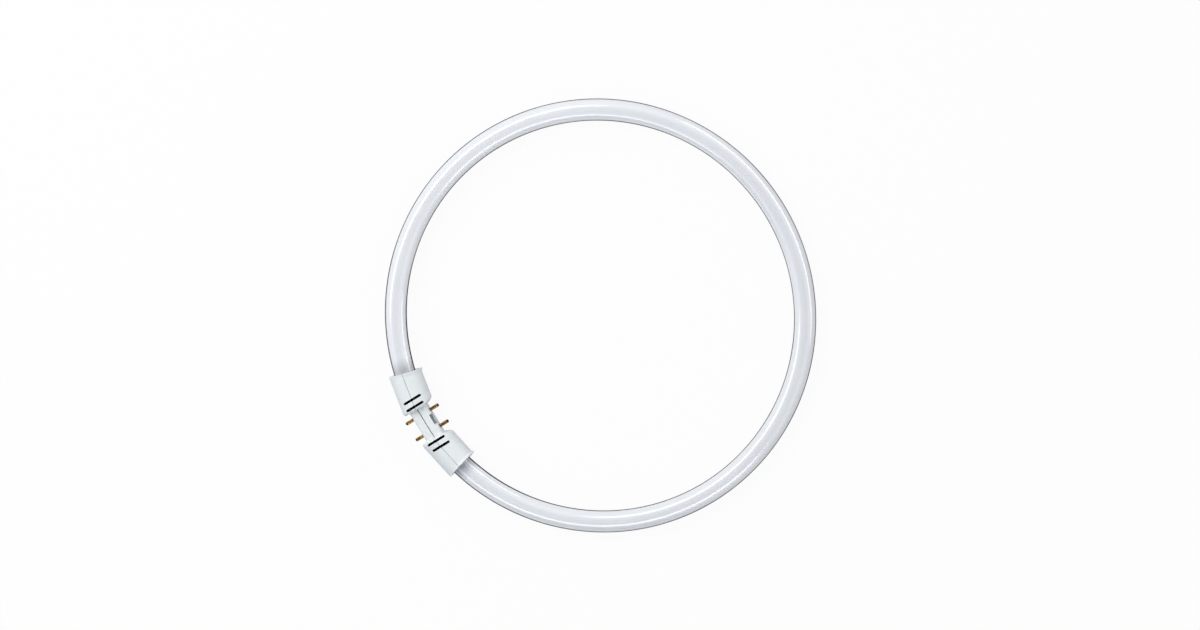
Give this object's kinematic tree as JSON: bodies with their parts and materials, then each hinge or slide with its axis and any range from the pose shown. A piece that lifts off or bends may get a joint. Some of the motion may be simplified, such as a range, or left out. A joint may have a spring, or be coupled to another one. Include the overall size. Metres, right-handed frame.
{
  "type": "circular fluorescent tube",
  "caption": "Ring-shaped fluorescent lamp: a sealed white glass tube bent round a circle, its ends bridged by a white plastic base with brass contact pins on both sides.",
  "frame": {"origin": "centre of the ring, in the middle plane of the tube", "axes": "+Z along the ring's axis, up as the lamp lies; -Y towards the middle of the base; +X to the right, seen from above with the base nearest"},
  "size_m": [0.3, 0.3059, 0.0238],
  "materials": {
    "coated_glass": "clear gloss glass over a white coating on the inside",
    "base_plastic": "satin moulded plastic, cool white",
    "pin_brass": "turned brass, dulled",
    "lead_wire": "plain drawn wire"
  },
  "bodies": {
    "root": {"glass_tube": "coated_glass", "base_inner_half": "base_plastic", "base_outer_half": "base_plastic", "contact_pin_inner_left": "pin_brass", "contact_pin_inner_right": "pin_brass", "contact_pin_outer_left": "pin_brass", "contact_pin_outer_right": "pin_brass", "lead_wire_inner_left": "lead_wire", "lead_wire_inner_right": "lead_wire", "lead_wire_outer_left": "lead_wire", "lead_wire_outer_right": "lead_wire"}
  },
  "joints": []
}
